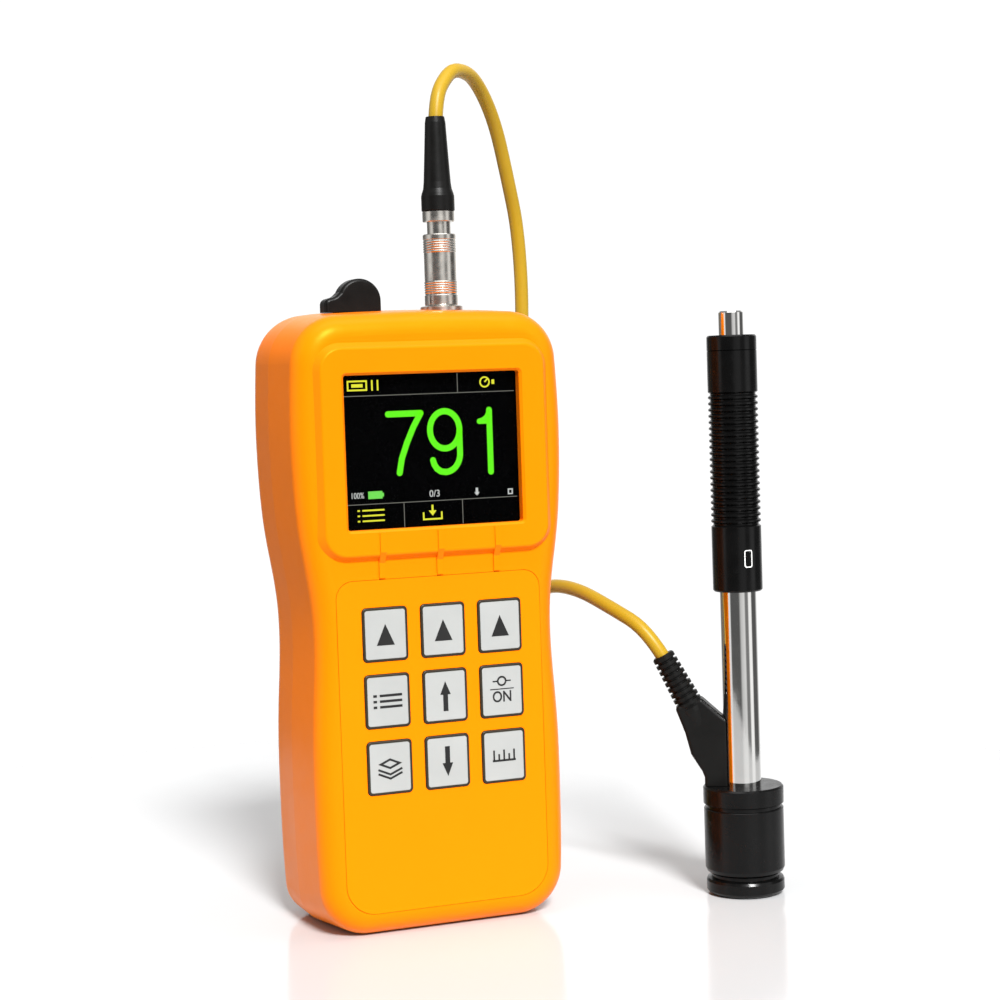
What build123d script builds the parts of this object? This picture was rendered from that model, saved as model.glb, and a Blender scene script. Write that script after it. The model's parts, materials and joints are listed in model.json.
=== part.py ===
from build123d import *
import math
import os

os.makedirs("parts", exist_ok=True)

# A hand-held rebound hardness tester: an upright instrument with a keypad and a
# colour display, and an impact probe joined to it by a thin cord.
# Millimetres, +Z up. The instrument's front faces -Y, its base is centred on
# the origin, and both the instrument and the probe stand on z = 0.

# ---- driving dimensions ------------------------------------------------------
case_height = 149.0
case_depth = 38.0
front_y = -case_depth / 2
back_y = case_depth / 2
parting_y = 1.0
wall = 2.4
front_wall = 2.8
front_edge_radius = 5.4
back_edge_radius = 7.0
# corner radii at the face and at the parting plane
top_corner_radius, top_parting_radius = 11.8, 12.6
bottom_corner_radius, bottom_parting_radius = 13.0, 8.0
# the front half narrows towards its face, and the top is slightly crowned
lean = 1.1
crown = 1.1
# half widths of the waisted outline, as (x, z) from the base to the top
side_points = [
    (31.1, 0.0),
    (32.0, 14.0),
    (32.3, 32.0),
    (32.0, 50.0),
    (31.05, 66.0),
    (31.4, 80.0),
    (33.6, 95.0),
    (34.65, 108.0),
    (34.9, 122.0),
    (34.3, 137.0),
    (33.6, case_height - crown),
]

screen_w, screen_h = 44.2, 36.4
screen_x, screen_z = -0.35, 115.1
bezel_w, bezel_h, bezel_z, bezel_rise = 58.6, 51.4, 115.3, 1.7
bezel_radius = 6.5

pad_w, pad_z0, pad_z1 = 51.5, 5.5, 85.0
pad_bottom_radius, pad_top_radius = 7.5, 4.2
pad_thickness = 0.4
pad_depth = 1.7
key_w, key_h = 11.2, 12.8
key_pitch_x, key_pitch_z = 14.55, 15.88
key_x, key_row_z = 0.5, 56.15
key_gap = 0.1
key_rise = 0.35
key_travel = 0.4

rib_w = 1.5
rib_x, rib_pitch = 0.25, 14.5

socket_x = 10.0
port_x, port_y = -13.5, -0.35

boss_points = [(-24.2, 15.5), (24.2, 15.5), (-27.3, 135.4), (27.3, 135.4)]
post_points = [(-19.8, 12.5), (19.8, 12.5), (-19.8, 90.0), (19.8, 90.0)]

cell_x, cell_y, cell_d, cell_len = 8.1, 7.8, 14.2, 49.2

# probe
probe_x, probe_y = 78.8, -21.4
probe_out = (0.88390, -0.46768)  # unit vector that points away from the plug
barrel_r = 10.0
flange_r = 10.1
ring_r = 9.8
tube_r, tube_bore = 4.6, 3.1
sleeve_r = 6.22
sleeve_z0, sleeve_z1 = 76.3, 136.4
cap_top_z = 140.3
button_r, button_top_z = 3.12, 146.3

# cord
cord_d = 3.6
coil_x, coil_y = 12.0, 56.0
coil_in, coil_out, coil_h = 15.7, 26.5, 10.8
coil_mid = (coil_in + coil_out) / 2
coil_turns = 7

# ---- planes and shared shapes -----------------------------------------------
probe_plane = Plane(
    origin=(probe_x, probe_y, 0),
    x_dir=(probe_out[0], probe_out[1], 0),
    z_dir=(probe_out[1], -probe_out[0], 0),
)
probe_axis = Axis((probe_x, probe_y, 0), (0, 0, 1))
socket_plane = Plane(origin=(socket_x, 0, 0), x_dir=(1, 0, 0), z_dir=(0, -1, 0))
socket_axis = Axis((socket_x, 0, 0), (0, 0, 1))


def front(y):
    """A drawing plane that faces the viewer of the instrument, at depth y."""
    return Plane.XZ.offset(-y)


def turn(points, plane, axis, mode=Mode.ADD):
    """Revolve a closed outline of (radius, height) points."""
    with BuildSketch(plane) as profile:
        with BuildLine():
            Polyline(*points, close=True)
        make_face()
    revolve(profile.sketch, axis=axis, mode=mode)


def case_outline(plane, inset=0.0, base=None, top_r=top_parting_radius, bottom_r=bottom_parting_radius):
    """The waisted outline of the case, moved inward by inset; the base stays at height base if it is given."""
    base = inset if base is None else base
    inner = (case_height - inset - base) / case_height
    points = [(x - inset, base + z * inner) for x, z in side_points]
    with BuildSketch(plane) as sk:
        with BuildLine():
            right = Spline(*points)
            left = Spline(*[(-x, z) for x, z in points])
            Line(left @ 0, right @ 0)
            ThreePointArc(left @ 1, (0, case_height - inset), right @ 1)
        make_face()
        fillet([v for v in sk.vertices() if v.Y < case_height / 2], bottom_r - inset)
        fillet([v for v in sk.vertices() if v.Y > case_height / 2], top_r - inset)
    return sk.sketch


def pad_outline(plane, grow=0.0):
    """The keypad's outline, with larger corners at the bottom."""
    with BuildSketch(plane) as sk:
        with Locations((0, (pad_z0 + pad_z1) / 2)):
            Rectangle(pad_w + 2 * grow, pad_z1 - pad_z0 + 2 * grow)
        fillet(sk.vertices().group_by(Axis.Y)[0], pad_bottom_radius)
        fillet(sk.vertices().group_by(Axis.Y)[-1], pad_top_radius)
    return sk.sketch


key_places = [
    (key_x + (i - 1) * key_pitch_x, key_row_z + (1 - j) * key_pitch_z)
    for j in range(3)
    for i in range(3)
]

# ---- front half of the case ---------------------------------------------------
with BuildPart() as front_cavity:
    loft(
        [
            case_outline(front(parting_y), wall - 0.1),
            case_outline(front(front_y + front_wall), wall + lean, wall, top_corner_radius + lean, bottom_corner_radius + lean),
        ],
        ruled=True,
    )
    fillet(front_cavity.faces().sort_by(Axis.Y)[0].edges(), 2.5)

with BuildPart() as front_case:
    loft(
        [
            case_outline(front(parting_y), 0.0, -0.05),
            case_outline(front(front_y), lean, -0.05, top_corner_radius + lean, bottom_corner_radius + lean),
        ],
        ruled=True,
    )
    fillet(front_case.faces().sort_by(Axis.Y)[0].edges(), front_edge_radius)
    # a true flat to stand on
    split(bisect_by=Plane.XY, keep=Keep.TOP)
    # raised bezel around the display, its foot sunk into the rounded edges
    sunk = 0.6
    spread = 2 * sunk * math.tan(math.radians(38))
    with BuildSketch(front(front_y + sunk)):
        with Locations((0, bezel_z)):
            RectangleRounded(bezel_w + spread, bezel_h + spread, bezel_radius + spread / 2)
    extrude(amount=bezel_rise + sunk, taper=38)
    fillet(front_case.faces().sort_by(Axis.Y)[0].edges(), 0.9)
    add(front_cavity.part, mode=Mode.SUBTRACT)
    # display opening, and the pocket behind it for the window
    with BuildSketch(front(front_y + front_wall)):
        with Locations((screen_x, screen_z)):
            RectangleRounded(screen_w, screen_h, 0.6)
    extrude(amount=6, mode=Mode.SUBTRACT)
    chamfer(
        [
            e
            for e in front_case.edges()
            if abs(e.center().Y - front_y + bezel_rise) < 0.01
            and abs(e.center().X - screen_x) < screen_w / 2 + 0.1
            and abs(e.center().Z - screen_z) < screen_h / 2 + 0.1
        ],
        0.6,
    )
    with BuildSketch(front(front_y + front_wall)):
        with Locations((screen_x, screen_z)):
            Rectangle(screen_w + 4.1, screen_h + 4.1)
    extrude(amount=1.8, mode=Mode.SUBTRACT)
    # shallow recess that the keypad is glued into
    extrude(pad_outline(front(front_y + pad_depth), 0.1), amount=pad_depth + 1, mode=Mode.SUBTRACT)
    # three pointer ribs from the display down to the top row of keys
    for i in (-1, 0, 1):
        with BuildSketch(Plane.YZ.offset(rib_x + i * rib_pitch)):
            with BuildLine():
                Polyline(
                    (front_y + 0.6, 85.4),
                    (front_y - 0.5, 85.4),
                    (front_y - 0.5, 89.0),
                    (front_y - bezel_rise - 0.4, 91.6),
                    (front_y - bezel_rise - 0.4, 96.2),
                    (front_y + 0.6, 96.2),
                    close=True,
                )
            make_face()
        extrude(amount=rib_w / 2, both=True)
    # screw bosses and posts for the circuit board
    with BuildSketch(front(0.9)):
        with Locations(*boss_points):
            Circle(3.0)
    extrude(amount=0.9 - front_y - front_wall + 0.2)
    with BuildSketch(front(-3.6)):
        with Locations(*post_points):
            Circle(2.0)
    extrude(amount=-3.6 - front_y - front_wall + 0.2)
    with BuildSketch(front(0.9)):
        with Locations(*boss_points):
            Circle(1.25)
    extrude(amount=10.2, mode=Mode.SUBTRACT)
    with BuildSketch(front(-3.6)):
        with Locations(*post_points):
            Circle(0.9)
    extrude(amount=6, mode=Mode.SUBTRACT)
    # holes in the top for the probe socket and the data port
    with BuildSketch(Plane.XY.offset(case_height - 8)):
        with Locations((socket_x, 0)):
            Circle(4.5)
        with Locations((port_x, port_y)):
            RectangleRounded(10.0, 4.4, 1.2)
    extrude(amount=9, mode=Mode.SUBTRACT)
    # flat seats for the socket's flange and the port cover
    with BuildSketch(Plane.XY.offset(148.6)):
        with Locations((socket_x, 0)):
            Circle(5.3)
        with Locations((-13.63, port_y)):
            RectangleRounded(14.7, 5.7, 0.6)
    extrude(amount=3, mode=Mode.SUBTRACT)
front_case.part.label = "front_case"
export_step(front_case.part, "parts/front_case.step")

# ---- rear half of the case -----------------------------------------------------
with BuildPart() as rear_cavity:
    extrude(case_outline(front(back_y - wall), 2.6), amount=back_y - wall - parting_y)
    fillet(rear_cavity.faces().sort_by(Axis.Y)[-1].edges(), 4.4)

with BuildPart() as rear_case:
    extrude(case_outline(front(back_y)), amount=back_y - parting_y)
    fillet(rear_case.faces().sort_by(Axis.Y)[-1].edges(), back_edge_radius)
    add(rear_cavity.part, mode=Mode.SUBTRACT)
    # locating lip that enters the front half
    extrude(case_outline(front(4.0), 2.5, bottom_r=10.5), amount=5.0)
    extrude(case_outline(front(4.0), 3.6, bottom_r=10.5), amount=5.0, mode=Mode.SUBTRACT)
    # screw pillars
    with BuildSketch(front(back_y - 2.1)):
        with Locations(*boss_points):
            Circle(3.5)
    extrude(amount=back_y - 2.1 - parting_y)
    # battery box
    with BuildSketch(front(back_y - 1.0)):
        with Locations((0, 46.5)):
            Rectangle(36.4, 62.0)
    extrude(amount=back_y - 1.0 + 0.8)
    with BuildSketch(front(back_y + 1)):
        with Locations((0, 46.5)):
            Rectangle(33.4, 59.0)
    extrude(amount=back_y + 1 - 0.6, mode=Mode.SUBTRACT)
    # boss for the door screw
    with BuildSketch(front(back_y - 1.0)):
        with Locations((0, 80.6)):
            Circle(3.2)
    extrude(amount=9.0)
    # recess for the battery door, a finger's way in at its foot
    with BuildSketch(front(back_y + 1)):
        with Locations((0, 48.8)):
            RectangleRounded(39.0, 70.8, 2.0)
    extrude(amount=2.8, mode=Mode.SUBTRACT)
    with BuildSketch(front(back_y + 1)):
        with Locations((0, 80.6)):
            Circle(1.0)
    extrude(amount=9.0, mode=Mode.SUBTRACT)
    # deep counterbores for the four case screws
    with BuildSketch(front(back_y + 1)):
        with Locations(*boss_points):
            Circle(2.7)
    extrude(amount=12, mode=Mode.SUBTRACT)
    with BuildSketch(front(back_y)):
        with Locations(*boss_points):
            Circle(1.4)
    extrude(amount=back_y + 1, mode=Mode.SUBTRACT)
    # the lip gives way to the nut of the probe socket
    with BuildSketch(Plane.XY.offset(141.0)):
        with Locations((socket_x, 0)):
            Circle(7.2)
    extrude(amount=case_height - 2.6 - 141.0, mode=Mode.SUBTRACT)
    # holes in the top, shared with the front half
    with BuildSketch(Plane.XY.offset(case_height - 8)):
        with Locations((socket_x, 0)):
            Circle(4.5)
        with Locations((port_x, port_y)):
            RectangleRounded(10.0, 4.4, 1.2)
    extrude(amount=9, mode=Mode.SUBTRACT)
    # flat seats for the socket's flange and the port cover
    with BuildSketch(Plane.XY.offset(148.6)):
        with Locations((socket_x, 0)):
            Circle(5.3)
        with Locations((-13.63, port_y)):
            RectangleRounded(14.7, 5.7, 0.6)
    extrude(amount=3, mode=Mode.SUBTRACT)
rear_case.part.label = "rear_case"
export_step(rear_case.part, "parts/rear_case.step")

with BuildPart() as case_screws:
    with BuildSketch(front(8.0)):
        with Locations(*boss_points):
            Circle(1.25)
    extrude(amount=16.6)
    with BuildSketch(front(9.8)):
        with Locations(*boss_points):
            Circle(2.3)
            RegularPolygon(1.2, 6, mode=Mode.SUBTRACT)
    extrude(amount=1.8)
    with BuildSketch(front(8.4)):
        with Locations(*boss_points):
            Circle(1.6)
    extrude(amount=0.4)
case_screws.part.label = "case_screws"
export_step(case_screws.part, "parts/case_screws.step")

# ---- battery door, its screw, the cells and their contacts ---------------------
with BuildPart() as battery_door:
    with BuildSketch(front(back_y)):
        with Locations((0, 48.8)):
            RectangleRounded(38.8, 70.6, 1.9)
    extrude(amount=1.8)
    fillet(battery_door.faces().sort_by(Axis.Y)[-1].edges(), 0.3)
    # grip bars near the upper end
    with BuildSketch(front(back_y + 0.35)):
        with Locations(*[(0, 66.0 - 2.4 * k) for k in range(5)]):
            RectangleRounded(16.0, 1.1, 0.5)
    extrude(amount=0.5)
    # screw hole with its countersunk seat
    with BuildSketch(front(back_y)):
        with Locations((0, 80.6)):
            Circle(1.15)
    extrude(amount=2, mode=Mode.SUBTRACT)
    with BuildSketch(front(back_y)):
        with Locations((0, 80.6)):
            Circle(2.1)
    extrude(amount=0.9, mode=Mode.SUBTRACT)
battery_door.part.label = "battery_door"
export_step(battery_door.part, "parts/battery_door.step")

with BuildPart() as door_screw:
    with BuildSketch(front(back_y - 0.1)):
        with Locations((0, 80.6)):
            Circle(2.0)
    extrude(amount=0.8)
    with BuildSketch(front(back_y - 0.9)):
        with Locations((0, 80.6)):
            Circle(1.0)
    extrude(amount=7.0)
    with BuildSketch(front(back_y - 0.1)):
        with Locations((0, 80.6)):
            Rectangle(2.6, 0.5)
            Rectangle(0.5, 2.6)
    extrude(amount=0.45, mode=Mode.SUBTRACT)
door_screw.part.label = "door_screw"
export_step(door_screw.part, "parts/door_screw.step")

cell_low_z = 22.4
with BuildPart() as battery_cells:
    for side, up in ((-1, True), (1, False)):
        base_z = cell_low_z if up else cell_low_z - 1.0
        with BuildSketch(Plane.XY.offset(base_z)):
            with Locations((side * cell_x, cell_y)):
                Circle(cell_d / 2)
        extrude(amount=cell_len)
        with BuildSketch(Plane.XY.offset(base_z + cell_len if up else base_z - 1.4)):
            with Locations((side * cell_x, cell_y)):
                Circle(2.75)
        extrude(amount=1.4)
battery_cells.part.label = "battery_cells"
export_step(battery_cells.part, "parts/battery_cells.step")


def contact_spring(x, z, height, down):
    """A conical wire spring that presses on the flat end of a cell."""
    with BuildLine() as wire:
        Helix(
            pitch=height / 3.0,
            height=height,
            radius=4.2,
            center=(x, cell_y, z),
            direction=(0, 0, -1 if down else 1),
            cone_angle=0,
        )
    with BuildSketch(Plane(origin=wire.line @ 0, z_dir=wire.line % 0)) as section:
        Circle(0.35)
    sweep(section.sketch, path=wire.line)


with BuildPart() as lower_contact:
    with BuildSketch(Plane.XY.offset(17.0)):
        with Locations((0, cell_y)):
            Rectangle(31.0, 9.6)
    extrude(amount=0.5)
    with BuildSketch(Plane.XY.offset(17.4)):
        with Locations((cell_x, cell_y)):
            Circle(2.4)
    extrude(amount=2.6)
    contact_spring(-cell_x, 17.6, 4.3, False)
lower_contact.part.label = "lower_contact"
export_step(lower_contact.part, "parts/lower_contact.step")

with BuildPart() as upper_contacts:
    with BuildSketch(Plane.XY.offset(75.5)):
        with Locations((-cell_x, cell_y), (cell_x, cell_y)):
            Rectangle(11.0, 9.6)
    extrude(amount=0.5)
    with BuildSketch(Plane.XY.offset(73.0)):
        with Locations((-cell_x, cell_y)):
            Circle(2.4)
    extrude(amount=2.6)
    contact_spring(cell_x, 75.4, 4.3, True)
upper_contacts.part.label = "upper_contacts"
export_step(upper_contacts.part, "parts/upper_contacts.step")

# ---- display --------------------------------------------------------------------
with BuildPart() as display_window:
    with BuildSketch(front(front_y + 2.0)):
        with Locations((screen_x, screen_z)):
            Rectangle(screen_w + 3.9, screen_h + 3.9)
    extrude(amount=1.0)
display_window.part.label = "display_window"
export_step(display_window.part, "parts/display_window.step")

with BuildPart() as display_panel:
    with BuildSketch(front(front_y + 4.8)):
        with Locations((screen_x, screen_z)):
            Rectangle(screen_w + 3.3, screen_h + 3.4)
    extrude(amount=2.8)
display_panel.part.label = "display_panel"
export_step(display_panel.part, "parts/display_panel.step")

with BuildPart() as display_frame:
    with BuildSketch(front(-3.6)):
        with Locations((screen_x, screen_z)):
            Rectangle(screen_w + 3.3, screen_h + 3.4)
            Rectangle(screen_w - 1.5, screen_h - 1.2, mode=Mode.SUBTRACT)
    extrude(amount=-3.6 - front_y - 4.8)
    with BuildSketch(front(-3.6)):
        with Locations((screen_x, screen_z)):
            Rectangle(screen_w, 1.2)
            Rectangle(1.2, screen_h)
    extrude(amount=6.0)
display_frame.part.label = "display_frame"
export_step(display_frame.part, "parts/display_frame.step")

# ---- circuit board -----------------------------------------------------------------
with BuildPart() as main_board:
    with BuildSketch(front(-2.0)):
        with Locations((0, 68.5)):
            Rectangle(44.0, 119.0)
        with Locations((-13.0, 135.9)):
            Rectangle(16.0, 17.8)
        with Locations(*post_points):
            Circle(1.0, mode=Mode.SUBTRACT)
        with Locations(*boss_points):
            Circle(3.3, mode=Mode.SUBTRACT)
    extrude(amount=1.6)
main_board.part.label = "main_board"
export_step(main_board.part, "parts/main_board.step")

with BuildPart() as board_screws:
    with BuildSketch(front(-2.0)):
        with Locations(*post_points):
            Circle(0.9)
    extrude(amount=6.0)
    with BuildSketch(front(-0.8)):
        with Locations(*post_points):
            Circle(1.8)
    extrude(amount=1.2)
board_screws.part.label = "board_screws"
export_step(board_screws.part, "parts/board_screws.step")

with BuildPart() as buzzer:
    with BuildSketch(front(-3.6)):
        with Locations((0, 22.0)):
            Circle(6.0)
    extrude(amount=5.5)
    with BuildSketch(front(-9.1)):
        with Locations((0, 22.0)):
            Circle(1.2)
    extrude(amount=-2.0, mode=Mode.SUBTRACT)
buzzer.part.label = "buzzer"
export_step(buzzer.part, "parts/buzzer.step")

# ---- keypad ---------------------------------------------------------------------------
key_floor_y = front_y + pad_depth
with BuildPart() as keypad_overlay:
    extrude(pad_outline(front(front_y + pad_thickness)), amount=pad_thickness)
    with BuildSketch(front(front_y + 1)):
        with Locations(*key_places):
            RectangleRounded(key_w + 2 * key_gap, key_h + 2 * key_gap, 1.1)
    extrude(amount=2, mode=Mode.SUBTRACT)
keypad_overlay.part.label = "keypad_overlay"
export_step(keypad_overlay.part, "parts/keypad_overlay.step")

with BuildPart() as keypad_spacer:
    extrude(pad_outline(front(key_floor_y - 0.3)), amount=pad_depth - 0.3 - pad_thickness)
    with BuildSketch(front(front_y + 2)):
        with Locations(*key_places):
            RectangleRounded(key_w + 2 * key_gap, key_h + 2 * key_gap, 1.1)
    extrude(amount=2, mode=Mode.SUBTRACT)
keypad_spacer.part.label = "keypad_spacer"
export_step(keypad_spacer.part, "parts/keypad_spacer.step")

with BuildPart() as keypad_circuit:
    extrude(pad_outline(front(key_floor_y)), amount=0.3)
keypad_circuit.part.label = "keypad_circuit"
export_step(keypad_circuit.part, "parts/keypad_circuit.step")

with BuildPart() as snap_domes:
    with BuildSketch(front(key_floor_y - 0.3)):
        with Locations(*key_places):
            Circle(4.0)
    extrude(amount=0.15)
snap_domes.part.label = "snap_domes"
export_step(snap_domes.part, "parts/snap_domes.step")


def key(place):
    """One key pad, its face a little above the overlay."""
    with BuildSketch(front(front_y + 0.75)) as sk:
        with Locations(place):
            RectangleRounded(key_w, key_h, 1.0)
    extrude(sk.sketch, amount=0.75 + key_rise)


with BuildPart() as soft_key_left:
    key(key_places[0])
    fillet(soft_key_left.faces().sort_by(Axis.Y)[0].edges(), 0.25)
soft_key_left.part.label = "soft_key_left"
export_step(soft_key_left.part, "parts/soft_key_left.step")

with BuildPart() as soft_key_middle:
    key(key_places[1])
    fillet(soft_key_middle.faces().sort_by(Axis.Y)[0].edges(), 0.25)
soft_key_middle.part.label = "soft_key_middle"
export_step(soft_key_middle.part, "parts/soft_key_middle.step")

with BuildPart() as soft_key_right:
    key(key_places[2])
    fillet(soft_key_right.faces().sort_by(Axis.Y)[0].edges(), 0.25)
soft_key_right.part.label = "soft_key_right"
export_step(soft_key_right.part, "parts/soft_key_right.step")

with BuildPart() as mode_key:
    key(key_places[3])
    fillet(mode_key.faces().sort_by(Axis.Y)[0].edges(), 0.25)
mode_key.part.label = "mode_key"
export_step(mode_key.part, "parts/mode_key.step")

with BuildPart() as up_key:
    key(key_places[4])
    fillet(up_key.faces().sort_by(Axis.Y)[0].edges(), 0.25)
up_key.part.label = "up_key"
export_step(up_key.part, "parts/up_key.step")

with BuildPart() as power_key:
    key(key_places[5])
    fillet(power_key.faces().sort_by(Axis.Y)[0].edges(), 0.25)
power_key.part.label = "power_key"
export_step(power_key.part, "parts/power_key.step")

with BuildPart() as material_key:
    key(key_places[6])
    fillet(material_key.faces().sort_by(Axis.Y)[0].edges(), 0.25)
material_key.part.label = "material_key"
export_step(material_key.part, "parts/material_key.step")

with BuildPart() as down_key:
    key(key_places[7])
    fillet(down_key.faces().sort_by(Axis.Y)[0].edges(), 0.25)
down_key.part.label = "down_key"
export_step(down_key.part, "parts/down_key.step")

with BuildPart() as scale_key:
    key(key_places[8])
    fillet(scale_key.faces().sort_by(Axis.Y)[0].edges(), 0.25)
scale_key.part.label = "scale_key"
export_step(scale_key.part, "parts/scale_key.step")

# ---- data port and its rubber cover ---------------------------------------------------
with BuildPart() as usb_socket:
    with BuildSketch(Plane.XY.offset(139.4)):
        with Locations((port_x, port_y)):
            RectangleRounded(8.9, 3.3, 1.2)
    extrude(amount=8.2)
    with BuildSketch(Plane.XY.offset(141.4)):
        with Locations((port_x, port_y)):
            RectangleRounded(8.3, 2.7, 1.0)
            RectangleRounded(6.6, 0.7, 0.2, mode=Mode.SUBTRACT)
    extrude(amount=7, mode=Mode.SUBTRACT)
usb_socket.part.label = "usb_socket"
export_step(usb_socket.part, "parts/usb_socket.step")

with BuildPart() as port_cover:
    # domed grip with a toe at its left end, where the rubber bends
    with BuildSketch(front(port_y + 2.6)) as grip:
        with BuildLine():
            dome = CenterArc((-11.85, 151.3), 5.4, 0, 156)
            Polyline(dome @ 1, (-18.0, 152.4), (-20.8, 151.7), (-20.8, 148.7), (-6.45, 148.7), dome @ 0)
        make_face()
        for x, z, r in ((-18.0, 152.4, 2.5), (-20.8, 151.7, 1.5)):
            fillet(min(grip.vertices(), key=lambda v: abs(v.X - x) + abs(v.Y - z)), r)
    extrude(amount=5.2)
    fillet(
        [
            e
            for f in port_cover.faces().filter_by(lambda f: abs(f.normal_at().Y) > 0.99)
            for e in f.edges()
            if e.center().Z > 148.8 and e.center().X > -20.7
        ],
        0.9,
    )
    # plug that enters the port's opening
    with BuildSketch(Plane.XY.offset(147.8)):
        with Locations((port_x, port_y)):
            RectangleRounded(8.8, 3.4, 1.1)
    extrude(amount=1.4)
port_cover.part.label = "port_cover"
export_step(port_cover.part, "parts/port_cover.step")

# ---- probe socket and the plug of the cord ---------------------------------------------
with BuildPart() as probe_socket:
    turn(
        [(3.2, 137.5), (4.4, 137.5), (4.4, 148.6), (5.2, 148.6), (5.2, 149.5), (4.9, 149.7), (3.2, 149.7)],
        socket_plane, socket_axis,
    )
probe_socket.part.label = "probe_socket"
export_step(probe_socket.part, "parts/probe_socket.step")

with BuildPart() as socket_nut:
    with BuildSketch(Plane.XY.offset(143.4)):
        with Locations((socket_x, 0)):
            RegularPolygon(6.4, 6)
            Circle(4.4, mode=Mode.SUBTRACT)
    extrude(amount=2.4)
socket_nut.part.label = "socket_nut"
export_step(socket_nut.part, "parts/socket_nut.step")

pin_places = [(socket_x + 1.2 * math.cos(a), 1.2 * math.sin(a)) for a in (math.pi / 2, math.pi * 7 / 6, math.pi * 11 / 6)]
with BuildPart() as socket_insert:
    turn([(0, 138.0), (3.2, 138.0), (3.2, 142.6), (0, 142.6)], socket_plane, socket_axis)
    with BuildSketch(Plane.XY.offset(139.6)):
        with Locations(*pin_places):
            Circle(0.42)
    extrude(amount=4, mode=Mode.SUBTRACT)
socket_insert.part.label = "socket_insert"
export_step(socket_insert.part, "parts/socket_insert.step")

with BuildPart() as plug_insert:
    turn([(0, 144.6), (2.3, 144.6), (2.3, 152.0), (0, 152.0)], socket_plane, socket_axis)
    with BuildSketch(Plane.XY.offset(140.2)):
        with Locations(*pin_places):
            Circle(0.34)
    extrude(amount=5)
plug_insert.part.label = "plug_insert"
export_step(plug_insert.part, "parts/plug_insert.step")

with BuildPart() as plug_shell:
    turn([(2.3, 143.2), (2.9, 143.2), (2.9, 176.0), (2.3, 176.0)], socket_plane, socket_axis)
plug_shell.part.label = "plug_shell"
export_step(plug_shell.part, "parts/plug_shell.step")

with BuildPart() as plug_sleeve:
    outline = [(2.98, 149.9), (4.0, 149.9), (4.08, 150.1), (4.08, 152.3), (3.92, 152.5), (3.92, 152.8)]
    z = 152.8
    while z < 155.3:
        outline += [(4.05, z + 0.2), (4.05, z + 0.4), (3.92, z + 0.6)]
        z += 0.6
    outline += [(3.92, 162.8)]
    z = 162.8
    while z < 165.5:
        outline += [(4.05, z + 0.2), (4.05, z + 0.4), (3.92, z + 0.6)]
        z += 0.6
    outline += [(3.92, 165.95), (4.06, 166.1), (4.06, 167.1), (3.9, 167.3), (2.98, 167.3)]
    turn(outline, socket_plane, socket_axis)
plug_sleeve.part.label = "plug_sleeve"
export_step(plug_sleeve.part, "parts/plug_sleeve.step")

with BuildPart() as collet_nut:
    turn(
        [(2.9, 170.3), (3.7, 170.3), (3.92, 170.5), (3.92, 172.8), (3.75, 173.0), (2.9, 173.0)],
        socket_plane, socket_axis,
    )
    with BuildSketch(Plane.XY.offset(170.3)):
        with Locations((socket_x + 4.1, 0), (socket_x - 4.1, 0)):
            Rectangle(0.7, 6.0)
    extrude(amount=2.7, mode=Mode.SUBTRACT)
collet_nut.part.label = "collet_nut"
export_step(collet_nut.part, "parts/collet_nut.step")

boot_tip_z = 196.0
cord_start_z = 190.0
with BuildPart() as plug_boot:
    turn(
        [
            (2.9, 173.0), (4.0, 173.0), (4.1, 173.2), (4.1, 176.6), (3.9, 177.4), (3.55, 178.4),
            (3.35, 180.0), (2.95, 187.0), (2.55, 194.6), (2.3, 196.0), (cord_d / 2, 196.0),
            (cord_d / 2, 190.0), (0.6, 190.0), (0.6, 180.0), (2.3, 178.0), (2.3, 176.0), (2.9, 176.0),
        ],
        socket_plane, socket_axis,
    )
plug_boot.part.label = "plug_boot"
export_step(plug_boot.part, "parts/plug_boot.step")

# ---- cord -----------------------------------------------------------------------------


def on_coil(radius, degrees, z):
    a = math.radians(degrees)
    return (coil_x + radius * math.cos(a), coil_y + radius * math.sin(a), z)


upper_end = on_coil(28.1, 290, cord_d / 2)
lower_end = on_coil(coil_mid, 30, 12.4)


def back_from(point, degrees, distance):
    """The point that lies distance before this one on the coil's tangent, going clockwise."""
    a = math.radians(degrees)
    return (point[0] - math.sin(a) * distance, point[1] + math.cos(a) * distance, point[2])


def ahead_of(point, degrees, distance):
    a = math.radians(degrees)
    return (point[0] + math.sin(a) * distance, point[1] - math.cos(a) * distance, point[2])


# from the plug on top of the instrument, over and down behind it to the coil
upper_route = [
    (10.0, 0.0, cord_start_z),
    (10.0, 0.0, 200.2),
    (15.4, 4.7, 207.4),
    (20.1, 8.7, 209.1),
    (26.5, 14.3, 207.7),
    (33.9, 20.7, 198.3),
    (38.6, 24.8, 184.2),
    (43.0, 28.6, 169.2),
    (43.6, 29.1, 144.7),
    (40.8, 29.8, 115.0),
    (37.8, 29.2, 86.0),
    (38.6, 30.2, 58.0),
    (41.0, 32.6, 33.0),
    (40.2, 34.8, 17.0),
    (37.0, 35.4, 7.0),
    back_from(upper_end, 290, 9.0),
    upper_end,
]
# from the coil, up and over to the probe's plug (listed from the plug's end)
lower_route = [
    (63.3, -13.2, 56.8),
    (58.9, -10.9, 66.4),
    (53.2, 0.1, 72.0),
    (49.9, 13.1, 75.9),
    (47.1, 25.7, 76.2),
    (47.0, 35.0, 72.1),
    (43.5, 42.0, 58.0),
    (41.5, 46.5, 42.0),
    (39.6, 51.0, 28.0),
    (37.4, 54.2, 17.6),
    ahead_of(lower_end, 30, 9.0),
    lower_end,
]


def corner_radii(points):
    """0.45 of the shorter run over the tangent of half the turn, at each inner point."""
    found = []
    for a, b, c in zip(points, points[1:], points[2:]):
        run_in, run_out = Vector(*b) - Vector(*a), Vector(*c) - Vector(*b)
        half = math.radians(run_in.get_angle(run_out)) / 2
        found.append(0.45 * min(run_in.length, run_out.length) / math.tan(half))
    return found


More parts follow.
